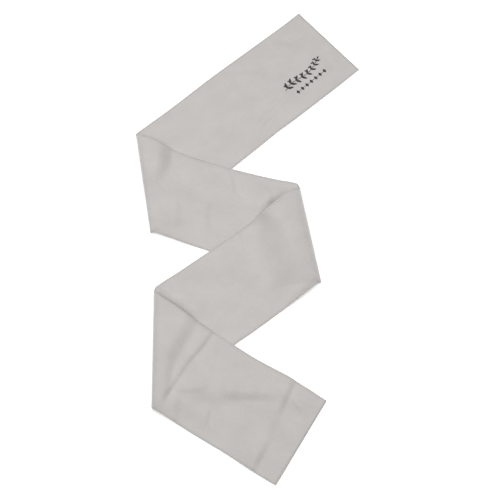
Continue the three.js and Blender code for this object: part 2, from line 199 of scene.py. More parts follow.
# %% The four runs
RUNS = [
    {
        "back": [{"at": 0.1, "by": 0.9}, {"at": 0.3, "by": 0.2}, {"at": 0.55, "by": -0.7},
                 {"at": 0.8, "by": 0.9}],
        "front": [{"at": 0.12, "by": 0.2}, {"at": 0.24, "by": -0.3}, {"at": 0.34, "by": -1.1},
                  {"at": 0.4, "by": -2.2}, {"at": 0.5, "by": -1.6}],
        "droop_width": 10,
        "droop": [{"at": 0, "by": 0}, {"at": 1, "by": 0}],
    },
    {
        "back": [{"at": 0.1, "by": 3.3}, {"at": 0.25, "by": 6.6}, {"at": 0.37, "by": 8.7},
                 {"at": 0.6, "by": 9.2}, {"at": 0.76, "by": 6.6}, {"at": 0.88, "by": 3.7},
                 {"at": 0.95, "by": 0.9}],
        "front": [{"at": 0.03, "by": -1.1}, {"at": 0.1, "by": -0.6}, {"at": 0.18, "by": 0.6},
                  {"at": 0.4, "by": 2.2}],
        "droop_width": 10,
        "droop": [{"at": 0, "by": 0}, {"at": 1, "by": 0}],
    },
    {
        "back": [{"at": 0.085, "by": -5.2}, {"at": 0.18, "by": -5.4}, {"at": 0.25, "by": -4.2},
                 {"at": 0.31, "by": -1.4}, {"at": 0.37, "by": 0}, {"at": 0.6, "by": 1.1},
                 {"at": 0.8, "by": 0.7}],
        "front": [{"at": 0.02, "by": -1.0}, {"at": 0.05, "by": -0.4}, {"at": 0.1, "by": 0.2},
                  {"at": 0.16, "by": 0.4}, {"at": 0.3, "by": 0.4}, {"at": 0.42, "by": 0},
                  {"at": 0.5, "by": -1.0}, {"at": 0.6, "by": -0.9}],
        "droop_width": 10,
        "droop": [{"at": 0, "by": 0}, {"at": 0.1, "by": 0.1}, {"at": 0.17, "by": 0.45},
                  {"at": 0.22, "by": 0.65}, {"at": 0.28, "by": 0.45}, {"at": 0.4, "by": 0},
                  {"at": 1, "by": 0}],
    },
    {
        "back": [{"at": 0.05, "by": -0.9}, {"at": 0.12, "by": -0.7}, {"at": 0.185, "by": 0.4},
                 {"at": 0.245, "by": 1.4}, {"at": 0.31, "by": 2.4}, {"at": 0.45, "by": 3.1},
                 {"at": 0.58, "by": 3.3}, {"at": 0.7, "by": 1.1}, {"at": 0.85, "by": -0.7}],
        "front": [{"at": 0.05, "by": -1.1}, {"at": 0.15, "by": -1.0}, {"at": 0.3, "by": -0.3},
                  {"at": 0.5, "by": -0.7}, {"at": 0.62, "by": -0.8}, {"at": 0.88, "by": 0.5}],
        "droop_width": 6,
        "droop": [{"at": 0, "by": 0.25}, {"at": 0.05, "by": 0.5}, {"at": 0.1, "by": 0.6},
                  {"at": 0.2, "by": 0.5}, {"at": 0.32, "by": 0.6}, {"at": 0.45, "by": 0},
                  {"at": 1, "by": 0}],
    },
]
swings = sum(len(row["back"] + row["front"]) for row in RUNS)
print(len(RUNS), "runs, whose edges swing at", swings, "places")

# %% [markdown]
# Creases show that cloth has been handled. A crease is a soft ridge line: each place on it is a plan
# place and the ridge's height there. left and right are the widths of its two slopes, as seen when
# walking from its first place to its last. A narrow slope is steep and looks dark, and a wide one
# hardly shows.

# %% The creases
CREASES = [
    {
        "run": 0, "left": 8, "right": 11,
        "ridge": [(54, 209, 0), (36, 199, 2.2), (24, 187, 2.2), (13, 166, 0)],
    },
    {
        "run": 0, "left": 12, "right": 24,
        "ridge": [(-52, 270, 0), (-26, 272, 1.6), (8, 273, 1.8), (50, 262, 0)],
    },
    {
        "run": 0, "left": 14, "right": 18,
        "ridge": [(26, 342, 0), (48, 332, 1.7), (72, 326, 1.9), (100, 334, 0)],
    },
    {"run": 0, "left": 6, "right": 6, "ridge": [(89, 336, 0), (91, 350, 1), (93, 364, 0)]},
    {"run": 0, "left": 14, "right": 8, "ridge": [(130, 330, 0), (145, 305, 1.3), (154, 284, 0)]},
    {
        "run": 1, "left": 9, "right": 6,
        "ridge": [(-104, 52, 0), (-90, 68, 1.5), (-76, 76, 1.5), (-58, 79, 0)],
    },
    {
        "run": 1, "left": 7, "right": 20,
        "ridge": [(-38, 104, 0), (-30, 78, 2.3), (-27, 60, 1.9), (-26, 42, 0)],
    },
    {
        "run": 1, "left": 7, "right": 22,
        "ridge": [(-32, 66, 0), (-16, 47, 2), (-4, 37, 2), (14, 28, 0)],
    },
    {
        "run": 1, "left": 12, "right": 26,
        "ridge": [(-66, 56, 0), (-70, 26, 2.4), (-70, 0, 2.4), (-62, -30, 0)],
    },
    {
        "run": 1, "left": 12, "right": 14,
        "ridge": [(-119, 62, 0), (-117, 30, 1.8), (-117, 8, 1.8), (-116, -20, 0)],
    },
    {
        "run": 1, "left": 12, "right": 44,
        "ridge": [(60, 74, 0), (44, 58, 3), (30, 46, 7.5), (19, 37, 4.5), (2, 23, 0)],
    },
    {
        "run": 2, "left": 30, "right": 15,
        "ridge": [(-141, -96, 0), (-127, -106, 5), (-112, -117, 5.5), (-86, -134, 4.5),
                  (-57, -152, 0)],
    },
    {"run": 2, "left": 16, "right": 7, "ridge": [(-16, -4, 0), (-8, -20, 1.9), (-2, -50, 0)]},
    {"run": 2, "left": 7, "right": 12, "ridge": [(15, 25, 0), (29, 14, 1.7), (40, 0, 0)]},
    {
        "run": 3, "left": 12, "right": 36,
        "ridge": [(74, -222, 0), (62, -243, 4), (54, -262, 5.4), (44, -284, 4.0), (36, -302, 1.3),
                  (30, -314, 1.6), (27, -326, 1.2), (20, -340, 3.0), (11, -356, 4.6), (3, -372, 3.4),
                  (-4, -390, 0)],
    },
    {
        "run": 3, "left": 40, "right": 17,
        "ridge": [(-46, -262, 0), (-20, -263, 4.4), (4, -263, 5.8), (26, -264, 5), (56, -270, 0)],
    },
    {
        "run": 3, "left": 30, "right": 26,
        "ridge": [(-92, -252, 0), (-64, -258, 3), (-40, -262, 4.6), (0, -262, 0)],
    },
    {
        "run": 3, "left": 22, "right": 10,
        "ridge": [(-118, -260, 0), (-98, -260, 2.2), (-78, -258, 2.0), (-58, -257, 0)],
    },
    {"run": 3, "left": 16, "right": 9, "ridge": [(56, -262, 0), (74, -284, 2.9), (94, -308, 0)]},
    {"run": 3, "left": 9, "right": 20, "ridge": [(-58, -278, 0), (-64, -300, 2.8), (-70, -328, 0)]},
    {
        "run": 3, "left": 16, "right": 14,
        "ridge": [(-108, -258, 0), (-113, -284, 3.8), (-113, -300, 3), (-116, -318, 0)],
    },
    {"run": 3, "left": 10, "right": 14, "ridge": [(-50, -180, 0), (-54, -206, 1.6), (-58, -236, 0)]},
]
print(len(CREASES), "creases")

# %% [markdown]
# A few small helpers do the drawing: an eased step, a curve through the rows of a table, a straight
# line that can say how far along it and how far to its right a place lies, and a long edge, which is
# such a line with its swing added. They work on whole arrays of places at once, which keeps them
# quick.

# %% Curves, lines and edges on the plan


def lerp(a, b, share):
    return a + (b - a) * share


def ease(share):
    """From 0 to 1 with level ends, as the share goes from 0 to 1."""
    return 0.5 - 0.5 * np.cos(np.pi * np.clip(share, 0, 1))


def through_rows(rows, key, name):
    """A smooth curve through the values under name, over the places under key."""
    places = np.array([row[key] for row in rows], float)
    values = np.array([row[name] for row in rows], float)
    before = np.maximum(np.arange(len(rows)) - 1, 0)
    after = np.minimum(np.arange(len(rows)) + 1, len(rows) - 1)
    slopes = (values[after] - values[before]) / (places[after] - places[before])

    def curve(share):
        i = np.searchsorted(places[1:-1], share)
        span = places[i + 1] - places[i]
        t = np.clip((share - places[i]) / span, 0, 1)
        rise = values[i + 1] - values[i]
        bend_in = slopes[i] * span - rise
        bend_out = rise - slopes[i + 1] * span
        return values[i] + rise * t + t * (1 - t) * (bend_in * (1 - t) + bend_out * t)

    return curve


class PlanLine:
    """A straight line on the plan."""

    def __init__(self, start, end):
        self.start = np.array(start, float)
        gap = np.array(end, float) - self.start
        self.length = float(np.hypot(*gap))
        self.way = gap / self.length

    def at(self, reach):
        return self.start + self.way * np.asarray(reach)[..., None]

    def along(self, place):
        return (place - self.start) @ self.way

    def right(self, place):
        gap = place - self.start
        return gap[..., 0] * self.way[1] - gap[..., 1] * self.way[0]


class LongEdge:
    """A long edge of a run: a straight line with its swing towards the reader."""

    def __init__(self, start, end, swing):
        self.line = PlanLine(start, end)
        side = np.array([self.line.way[1], -self.line.way[0]])
        self.sign = 1 if side[1] < 0 else -1
        self.out = side * self.sign
        rows = [{"at": 0, "by": 0}, *swing, {"at": 1, "by": 0}]
        self.swing = through_rows(rows, "at", "by")

    def at(self, share):
        return self.line.at(share * self.line.length) + self.out * self.swing(share)[..., None]

    def share(self, place):
        return np.clip(self.line.along(place) / self.line.length, 0, 1)

    def past(self, place):
        """How far a place lies past this edge, on the reader's side."""
        return self.line.right(place) * self.sign - self.swing(self.share(place))

    def share_at(self, fold, distance):
        """The share of this edge at which it lies a given distance from a fold's outer line."""
        lean = abs(self.line.way[0] * fold.line.way[1] - self.line.way[1] * fold.line.way[0])
        return distance / (lean * self.line.length)


print("an eased step is", round(float(ease(0.25)), 2), "up after a quarter of its way")

# %% [markdown]
# A fold has to say how high its cloth stands at any place. Its loop and its kink each do that in the
# same way: level first, and then down an eased slope.

# %% Folds and the cloth that stands at them


class Fall:
    """Cloth that stands up along a fold's outer line, and falls to nothing further in."""

    def __init__(self, rows, skew, outer):
        self.skew = skew
        self.outer = outer
        self.height, self.start, self.end = (
            through_rows(rows, "along", name) for name in ("height", "fall", "foot")
        )

    def height_at(self, along, distance):
        start = self.start(along)
        to_go = 1 - np.clip(distance / start, 0, 1)
        gone = (distance - start) / (self.end(along) - start)
        height = self.height(along) * lerp(1, self.outer, to_go**2)
        return height * (1 - ease(np.clip(gone, 0, 1) ** self.skew))


class Fold:
    """A fold's outer line, its slips, its loop and its kink."""

    def __init__(self, row):
        self.line = PlanLine(row["back"], row["front"])
        self.front = row["front"]
        self.back = row["back"]
        self.slip_back = row["slip_back"]
        self.slip_front = row["slip_front"]
        self.crest = through_rows(row["loop"], "along", "crest")
        self.falls = [Fall(row[name], row[name + "_skew"], row["outer"]) for name in ("loop", "kink")]

    def share(self, place):
        return np.clip(self.line.along(place) / self.line.length, 0, 1)

    def distance(self, place):
        return np.abs(self.line.right(place))

    def slip(self, across):
        return lerp(self.slip_back, self.slip_front, across)


folds = [Fold(row) for row in FOLDS]
print("fold lines", [round(fold.line.length, 1) for fold in folds], "mm long")

# %% [markdown]
# A crease finds the nearest place on its ridge line, takes the height there, and eases it down to
# nothing over the width of the slope on that side.

# %% Creases on the plan


class Crease:
    """A soft ridge along a chain of straight lines."""

    def __init__(self, row):
        places = [np.array(place[:2], float) for place in row["ridge"]]
        self.lines = [PlanLine(start, end) for start, end in zip(places, places[1:])]
        self.heights = [place[2] for place in row["ridge"]]
        self.left = row["left"]
        self.right = row["right"]

    def height_at(self, place):
        nearest = np.full(place.shape[:-1], np.inf)
        ridge = np.zeros_like(nearest)
        width = np.ones_like(nearest)
        for line, start, end in zip(self.lines, self.heights, self.heights[1:]):
            reach = np.clip(line.along(place), 0, line.length)
            distance = np.linalg.norm(place - line.at(reach), axis=-1)
            closer = distance < nearest
            nearest = np.where(closer, distance, nearest)
            ridge = np.where(closer, lerp(start, end, ease(reach / line.length)), ridge)
            width = np.where(closer, np.where(line.right(place) > 0, self.right, self.left), width)
        return ridge * ease(1 - nearest / width)


crease_lengths = [sum(line.length for line in Crease(row).lines) for row in CREASES]
print("creases from", round(min(crease_lengths)), "to", round(max(crease_lengths)), "mm long")

# %% [markdown]
# A run is the cloth between two folds. Its height at any plan place is built up in layers: it lies
# on the table, steps over the edge of the run beneath it, and stands up in a loop near its first
# fold, where the cloth doesn't quite lie flat. The creases come on top. Brushed cloth is springy,
# so nothing in it is sharp, and every step is eased.

# %% The height of a run


class Run:
    """The cloth between two folds, or between an end and a fold."""

    def __init__(self, index):
        self.index = index
        self.before = folds[index - 1] if index > 0 else None
        self.after = folds[index] if index < len(folds) else None
        start, end = PRINTED_END, PLAIN_END
        if self.before:
            start = {"back": self.before.line.at(self.before.slip_back), "front": self.before.front}
        if self.after:
            reach = self.after.line.length - self.after.slip_front
            end = {"back": self.after.back, "front": self.after.line.at(reach)}
        self.back = LongEdge(start["back"], end["back"], RUNS[index]["back"])
        self.front = LongEdge(start["front"], end["front"], RUNS[index]["front"])
        self.droop = through_rows(RUNS[index]["droop"], "at", "by")
        self.droop_width = RUNS[index]["droop_width"]
        self.creases = [Crease(row) for row in CREASES if row["run"] == index]

    def place(self, share_back, share_front, across):
        return lerp(self.back.at(share_back), self.front.at(share_front), across[..., None])

    def crease_height(self, place):
        return sum((crease.height_at(place) for crease in self.creases), np.zeros(place.shape[:-1]))

    def underside(self, place):
        height = self.crease_height(place)
        if self.before:
            past = runs[self.index - 1].front.past(place)
            from_back, from_front = self.back.past(place), -self.front.past(place)
            inward = np.minimum(from_back, from_front)
            gap = lerp(LAYER_GAP, LAYER_PUFF, ease(inward / PUFF_WIDTH))
            height += (CLOTH_THICK + gap) * (1 - ease((past - EDGE_CLEAR) / EDGE_RAMP))
            fold, along = self.before, self.before.share(place)
            standing = sum(fall.height_at(along, fold.distance(place)) for fall in fold.falls)
            hanging = self.droop(self.back.share(place)) * (1 - ease(from_back / self.droop_width))
            lowered = FRONT_DROOP * (1 - ease(from_front / FRONT_WIDTH))
            height += standing * (1 - hanging) * (1 - lowered)
        return np.maximum(height, 0)

    def mid_height(self, place):
        """Height of the cloth's mid surface."""
        lying = CLOTH_THICK / 2 + self.underside(place)
        if not self.before:
            return lying
        fold = self.before
        closeness = 1 - np.clip(fold.distance(place) / fold.crest(fold.share(place)), 0, 1)
        risen = (1 - closeness**ROLL_SQUARENESS) ** (1 / ROLL_SQUARENESS)
        return lerp(CLOTH_THICK / 2 + BEND_RADIUS, lying, risen)


runs = []
for index in range(len(RUNS)):
    runs.append(Run(index))
print("back edge", round(sum(run.back.line.length for run in runs)), "mm on the plan")
print("front edge", round(sum(run.front.line.length for run in runs)), "mm on the plan")

# %% [markdown]
# The mid surface is a grid: rows of points across the strip, one after another along it. A row has
# its points closer together near its ends, where the cloth thins towards the sewn edges.

# %% The points of a row
STRIPS_ACROSS = 60
EDGE_PLACES = [0, 0.4, 0.9, 1.6, 2.6]  # extra points near either long edge, in mm from it
middle = np.linspace(EDGE_ROUND, FLAT_WIDTH - EDGE_ROUND, STRIPS_ACROSS + 1)
near_back = np.array(EDGE_PLACES)
across = np.concatenate([near_back, middle, FLAT_WIDTH - near_back[::-1]]) / FLAT_WIDTH


def join_height(place, height):
    return np.concatenate([place, height[..., None]], axis=-1)


print(len(across), "points to a row")

# %% [markdown]
# Round a fold the rows follow the bend: a quarter circle up from the lower layer, and then a quarter
# of a squarish ellipse up to the crest of the loop. Between the two the edges slip along the fold.

# %% Rows round a fold
BEND_STEPS = 8
CREST_STEPS = 14


def slip_left(step):
    """How much of a fold's slip is still to come, counted from the lower layer of its bend."""
    return 1 - ease(step / (2 * BEND_STEPS))


def crest_rows(run):
    """Rows from the outer line of the run's first fold up to the crest of its loop."""
    fold = run.before
    for i in range(CREST_STEPS):
        share = i / CREST_STEPS
        angle = math.pi / 2 * share
        cosine, sine = math.cos(angle), math.sin(angle)
        even = (cosine**ROLL_SQUARENESS + sine**ROLL_SQUARENESS) ** (1 / ROLL_SQUARENESS)
        distance = fold.crest(across) * (1 - cosine / even)
        back = run.back.share_at(fold, distance)
        front = run.front.share_at(fold, distance)
        place = run.place(back, front, across)
        shift = -fold.slip(across) * slip_left(BEND_STEPS * (1 + share))
        yield join_height(place + fold.line.way * shift[..., None], run.mid_height(place))


def bend_rows(run):
    """Rows on the quarter circle that turns the cloth up at the run's last fold."""
    fold = run.after
    for i in range(1, BEND_STEPS):
        angle = math.pi / 2 * i / BEND_STEPS
        distance = BEND_RADIUS * (1 - math.sin(angle)) + np.zeros_like(across)
        back = 1 - run.back.share_at(fold, distance)
        front = 1 - run.front.share_at(fold, distance)
        place = run.place(back, front, across)
        height = CLOTH_THICK / 2 + BEND_RADIUS * (1 - math.cos(angle)) + np.zeros_like(across)
        shift = fold.slip(across) * (1 - slip_left(i))
        yield join_height(place + fold.line.way * shift[..., None], height)


print(BEND_STEPS - 1 + CREST_STEPS, "rows round each fold")

# %% [markdown]
# Where the cloth lies, a row comes about every two and a half millimetres. Facets of that size are
# one and a half pixels of the picture, and smooth shading hides them.

# %% Rows where the cloth lies, and all rows together
STEP_ALONG = 2.4


def lying_rows(run):
    """Rows from the crest of the first loop, or the end, to where the cloth turns up again."""
    nothing = np.zeros_like(across)
    first = last = (nothing, nothing)
    if run.before:
        crest = run.before.crest(across)
        first = (run.back.share_at(run.before, crest), run.front.share_at(run.before, crest))
    if run.after:
        bend = BEND_RADIUS + nothing
        last = (run.back.share_at(run.after, bend), run.front.share_at(run.after, bend))
    length = (run.back.line.length + run.front.line.length) / 2
    count = round(length / STEP_ALONG)
    for i in range(count + 1):
        back = lerp(first[0], 1 - last[0], i / count)
        front = lerp(first[1], 1 - last[1], i / count)
        place = run.place(back, front, across)
        yield join_height(place, run.mid_height(place))


def mid_surface():
    rows = []
    for run in runs:
        if run.before:
            rows.extend(crest_rows(run))
        rows.extend(lying_rows(run))
        if run.after:
            rows.extend(bend_rows(run))
    return np.array(rows)


mid = mid_surface()
print("mid surface of", mid.shape[0], "rows of", mid.shape[1], "points")

# %% [markdown]
# A sheet needs two faces. Each point of the mid surface goes half a thickness to either side along
# its normal, and less near the cut edges, where the sewing presses the cloth thin. Lengths measured
# along the surface say where each point lay on the uncut strip.

# %% The two faces of the cloth
step_along = np.gradient(mid, axis=0)
step_across = np.gradient(mid, axis=1)
normals = np.cross(step_along, step_across)
normals /= np.linalg.norm(normals, axis=-1, keepdims=True)

gaps = np.linalg.norm(np.diff(mid, axis=0), axis=-1)
cut_along = np.concatenate([np.zeros((1, mid.shape[1])), np.cumsum(gaps, axis=0)])
cut_across = np.broadcast_to(across * FLAT_WIDTH, cut_along.shape)
print("back edge", round(cut_along[-1, 0]), "mm, front edge", round(cut_along[-1, -1]), "mm")


def half_thickness(from_edge):
    """Half the cloth's thickness at a distance from its nearest cut edge."""
    inward = np.clip(from_edge / EDGE_ROUND, 0, 1)
    return lerp(EDGE_THICK, CLOTH_THICK, np.sqrt(1 - (1 - inward) ** 2)) / 2


length_here = cut_along[-1]
from_ends = np.minimum(cut_along, length_here - cut_along)
from_sides = np.minimum(cut_across, FLAT_WIDTH - cut_across)
half = half_thickness(np.minimum(from_ends, from_sides))[..., None]
upper = mid + normals * half
lower = mid - normals * half
print("cloth from", round(2 * float(half.min()), 2), "to", round(2 * float(half.max()), 2), "mm thick")

# %% [markdown]
# A rim joins the two faces all round, so that the cloth is one closed mesh. It keeps a flat map too:
# for every point, where it lay on the uncut strip. The nap follows that map, so it runs along the
# strip round every fold.

# %% From two faces to a mesh


def make_mesh_object(name, points, faces, flat_places=None):
    """An object from points in millimetres, with its flat map if it has one."""
    mesh = bpy.data.meshes.new(name)
    mesh.from_pydata((np.asarray(points) * MM).tolist(), [], faces)
    mesh.validate()
    mesh.shade_smooth()
    if flat_places is not None:
        layer = mesh.uv_layers.new(name="flat_cut")
        corners = np.empty(len(mesh.loops), int)
        mesh.loops.foreach_get("vertex_index", corners)
        layer.data.foreach_set("uv", (np.asarray(flat_places)[corners] * MM).ravel())
    return add_to_scene(bpy.data.objects.new(name, mesh))


def rim_loop(rows, columns):
    """The grid's outer points in order, as (row, column)."""
    loop = [(0, j) for j in range(columns - 1)]
    loop += [(i, columns - 1) for i in range(rows - 1)]
    loop += [(rows - 1, j) for j in range(columns - 1, 0, -1)]
    loop += [(i, 0) for i in range(rows - 1, 0, -1)]
    return loop


def make_cloth():
    rows, columns = mid.shape[:2]
    layer = rows * columns
    points = np.concatenate([upper, lower])
    flat = np.stack([cut_along, cut_across], axis=-1).reshape(-1, 2)
    corner = (np.arange(rows - 1)[:, None] * columns + np.arange(columns - 1)).ravel()
    top = np.stack([corner, corner + columns, corner + columns + 1, corner + 1], axis=1)
    bottom = layer + top[:, ::-1]
    loop = np.array([i * columns + j for i, j in rim_loop(rows, columns)])
    following = np.roll(loop, -1)
    rim = np.stack([loop, following, layer + following, layer + loop], axis=1)
    faces = np.concatenate([top, bottom, rim]).tolist()
    return make_mesh_object("key_cover", points.reshape(-1, 3), faces, np.concatenate([flat, flat]))


cloth = make_cloth()
print("cloth of", len(cloth.data.polygons), "faces")

# %% [markdown]
# Sewing and print lie on the cloth, so they need to find their places on it. A place is given as it
# was on the uncut strip: so far along it from the printed end, and so far from its back edge. The
# lift goes outwards from whichever face is asked for.

# %% Places on the cloth


def blend_grid(grid, rows, columns):
    """Points of a grid at fractional rows and columns."""
    i = np.clip(np.floor(rows).astype(int), 0, grid.shape[0] - 2)
    j = np.clip(np.floor(columns).astype(int), 0, grid.shape[1] - 2)
    down = (rows - i)[..., None]
    right = (columns - j)[..., None]
    near = lerp(grid[i, j], grid[i, j + 1], right)
    far = lerp(grid[i + 1, j], grid[i + 1, j + 1], right)
    return lerp(near, far, down)


def on_cloth(along, from_back, face, lift):
    """Points on a face of the cloth, and the face's normals there."""
    along = np.atleast_1d(np.asarray(along, float))
    from_back = np.atleast_1d(np.asarray(from_back, float))
    places = np.arange(len(mid))
    row_back = np.interp(along, cut_along[:, 0], places)
    row_front = np.interp(along, cut_along[:, -1], places)
    rows = lerp(row_back, row_front, from_back / FLAT_WIDTH)
    columns = np.interp(from_back, across * FLAT_WIDTH, np.arange(len(across)))
    outward = blend_grid(normals, rows, columns) * face
    skin = blend_grid(upper if face > 0 else lower, rows, columns)
    return skin + outward * lift, outward


UPPER = 1
LOWER = -1
corner_point, _ = on_cloth(0, 0, UPPER, 0)
print("printed end's back corner at", corner_point[0].round(1), "mm")

# %% [markdown]
# Sewing thread is about a third of a millimetre thick, so it is a thin tube that follows the face of
# the cloth. Five sides are enough for something so much narrower than a pixel. A curve with a bevel
# would give the same tube, but points and faces made here let a whole edge be one mesh.

# %% A thread
THREAD_RADIUS = 0.17
THREAD_LIFT = 0.08
THREAD_SIDES = 5


def thread_tube(points, outward, radius):
    """Points and faces of a thread through points that lie on a face, with its normals there."""
    run_way = np.gradient(points, axis=0)
    run_way /= np.linalg.norm(run_way, axis=1, keepdims=True)
    sideways = np.cross(run_way, outward)
    sideways /= np.linalg.norm(sideways, axis=1, keepdims=True)
    turns = 2 * np.pi * np.arange(THREAD_SIDES) / THREAD_SIDES
    spokes = [math.cos(turn) * outward + math.sin(turn) * sideways for turn in turns]
    rings = [points + radius * spoke for spoke in spokes]
    start = (np.arange(len(points) - 1)[:, None] * THREAD_SIDES + np.arange(THREAD_SIDES)).ravel()
    beside = (start // THREAD_SIDES) * THREAD_SIDES + (start + 1) % THREAD_SIDES
    faces = np.stack([start, beside, beside + THREAD_SIDES, start + THREAD_SIDES], axis=1)
    return np.stack(rings, axis=1).reshape(-1, 3), faces


print("thread", 2 * THREAD_RADIUS, "mm thick")

# %% [markdown]
# An overlocked edge is three threads: one looper thread zigzags over the face, one under it, and
# they meet at the cut edge, while a needle thread holds both down a few millimetres in. No two
# stitches are quite alike, so the tips of the zigzag and its pitch waver a little.

# %% The stitches of an overlocked edge
STITCH_PITCH = 2.6
STITCH_DEPTH = 3.2
STITCH_WAVER = 0.14
LEG_STEPS = 3  # a looper's points to a leg of its zigzag
NEEDLE_DEPTH = 2.9
NEEDLE_STEPS = 4  # the needle thread's points to a stitch
dice = random.Random(11)


def zigzag(length):
    """How far along and how far in from the cut edge a looper thread goes."""
    count = round(length / STITCH_PITCH)
    along = []
    inward = []
    for i in range(2 * count):
        tip = STITCH_DEPTH if i % 2 else 0
        along.append((i + dice.uniform(-STITCH_WAVER, STITCH_WAVER)) * length / (2 * count))
        inward.append(tip + dice.uniform(-STITCH_WAVER, STITCH_WAVER) * (1 if tip else 0))
    fine = np.linspace(0, len(along) - 1, (len(along) - 1) * LEG_STEPS + 1)
    corners = np.arange(len(along))
    return np.interp(fine, corners, along), np.interp(fine, corners, inward)


def needle_line(length):
    """The same for the needle thread, and how far it is out of the cloth, from 0 to 1."""
    count = round(length / STITCH_PITCH)
    along = np.linspace(0, length, count * NEEDLE_STEPS + 1)
    risen = 0.5 - 0.5 * np.cos(2 * np.pi * np.arange(len(along)) / NEEDLE_STEPS)
    return along, np.full_like(along, NEEDLE_DEPTH), risen


print(round(100 / STITCH_PITCH), "stitches to 100 mm")

# %% [markdown]
# Each of the four edges is sewn on both faces, and is a piece of its own.

# %% Sew the edges
NEEDLE_DIP = 2.5 * THREAD_RADIUS  # how far the needle thread goes down into the cloth at each stitch


def sewn_edge(name, place_of, length):
    """The threads along one edge. place_of turns along and inward into a place on the strip."""
    points = []
    faces = []
    for face in (UPPER, LOWER):
        along, inward = zigzag(length)
        looper = thread_tube(*on_cloth(*place_of(along, inward), face, THREAD_LIFT), THREAD_RADIUS)
        along, inward, risen = needle_line(length)
        seat, outward = on_cloth(*place_of(along, inward), face, THREAD_LIFT)
        seat = seat - outward * (NEEDLE_DIP * (1 - risen))[:, None]
        for tube_points, tube_faces in (looper, thread_tube(seat, outward, THREAD_RADIUS)):
            faces.append(tube_faces + sum(len(part) for part in points))
            points.append(tube_points)
    return make_mesh_object(name, np.concatenate(points), np.concatenate(faces).tolist())


sewn_length = float((length_here[0] + length_here[-1]) / 2)
edge_threads = [
    sewn_edge("edge_thread_back", lambda along, inward: (along, inward), sewn_length),
    sewn_edge("edge_thread_front", lambda along, inward: (along, FLAT_WIDTH - inward), sewn_length),
    sewn_edge("edge_thread_printed_end", lambda along, inward: (inward, along), FLAT_WIDTH),
    sewn_edge("edge_thread_plain_end", lambda along, inward: (sewn_length - inward, along), FLAT_WIDTH),
]
print("sewing of", sum(len(thread.data.polygons) for thread in edge_threads), "faces")

# %% [markdown]
# Near one end the strip carries a small dark ornament, printed through a screen in one colour: a
# leafy sprig with berries, and a row of lozenges under it. An image could carry it, but shapes need
# no file and stay sharp from close by. So every mark is a flat shape in a drawing, in millimetres.

# %% Marks of ink
STEM = [(2, 19), (18, 24), (36, 22), (54, 21), (70, 25), (82, 31)]
LEAF_POINTS = 9  # along either side of a leaf
LEAF_BELLY = 0.8  # below 1, a leaf is widest nearer its foot
LEAF_FULLNESS = 0.9  # below 1, its ends are blunter


def stem_place(share):
    """A place on the sprig's stem, and its direction there."""
    knots = np.linspace(0, 1, len(STEM))
    u, v = (through_rows([{"at": k, "to": place[axis]} for k, place in zip(knots, STEM)], "at", "to")
            for axis in (0, 1))
    small = 0.01
    here = np.array([float(u(share)), float(v(share))])
    ahead = np.array([float(u(min(share + small, 1))), float(v(min(share + small, 1)))])
    behind = np.array([float(u(max(share - small, 0))), float(v(max(share - small, 0)))])
    return here, math.atan2(*(ahead - behind)[::-1])


def turned(points, angle, centre):
    """Flat points turned about the origin and moved to a centre."""
    cosine, sine = math.cos(angle), math.sin(angle)
    return np.array(points) @ np.array([[cosine, sine], [-sine, cosine]]) + centre


def leaf_outline(length, width):
    share = np.linspace(0, 1, LEAF_POINTS)
    half_width = width / 2 * np.sin(np.pi * share**LEAF_BELLY) ** LEAF_FULLNESS
    return [*zip(length * share, half_width), *zip(length * share[-2:0:-1], -half_width[-2:0:-1])]


def round_outline(radius, corners):
    turns = 2 * np.pi * np.arange(corners) / corners
    return [*zip(radius * np.cos(turns), radius * np.sin(turns))]


print("stem from", stem_place(0)[0].round(1), "to", stem_place(1)[0].round(1), "mm in its drawing")

# %% [markdown]
# The stem is a chain of short bars. Its leaves stand in pairs that get smaller towards the tip, with
# a berry by each pair. Marks that cross are in different coats, as if they were printed one after
# another, so that no two of them lie in one plane.

# %% The ornament's drawing
STEM_WIDTH = 1.1
STEM_PARTS = 24
STEM_OVERLAP = 1.1  # the length of a bar, in steps along the stem
LEAF_PAIRS = 8
LEAF_LENGTH = 12
LEAF_WIDTH = 4.8
LEAF_LEAN = math.radians(48)
LEAF_TAPER = 0.35  # leaves get smaller by this share from the stem's foot to its tip
TIP_LEAF = 0.6  # the leaf that ends the stem, as a share of LEAF_LENGTH
BERRY_RADIUS = 1.5
BERRY_CORNERS = 14
BERRY_REACH = 6
BERRY_LEAN = 1.35  # in radians from the stem
LOZENGES = 7
LOZENGE_START = (16, 4)
LOZENGE_END = (76, 6)
LOZENGE_SIZE = (3.1, 4.3)  # from its centre to its corners
DOT_RADIUS = 0.9
DOT_CORNERS = 10


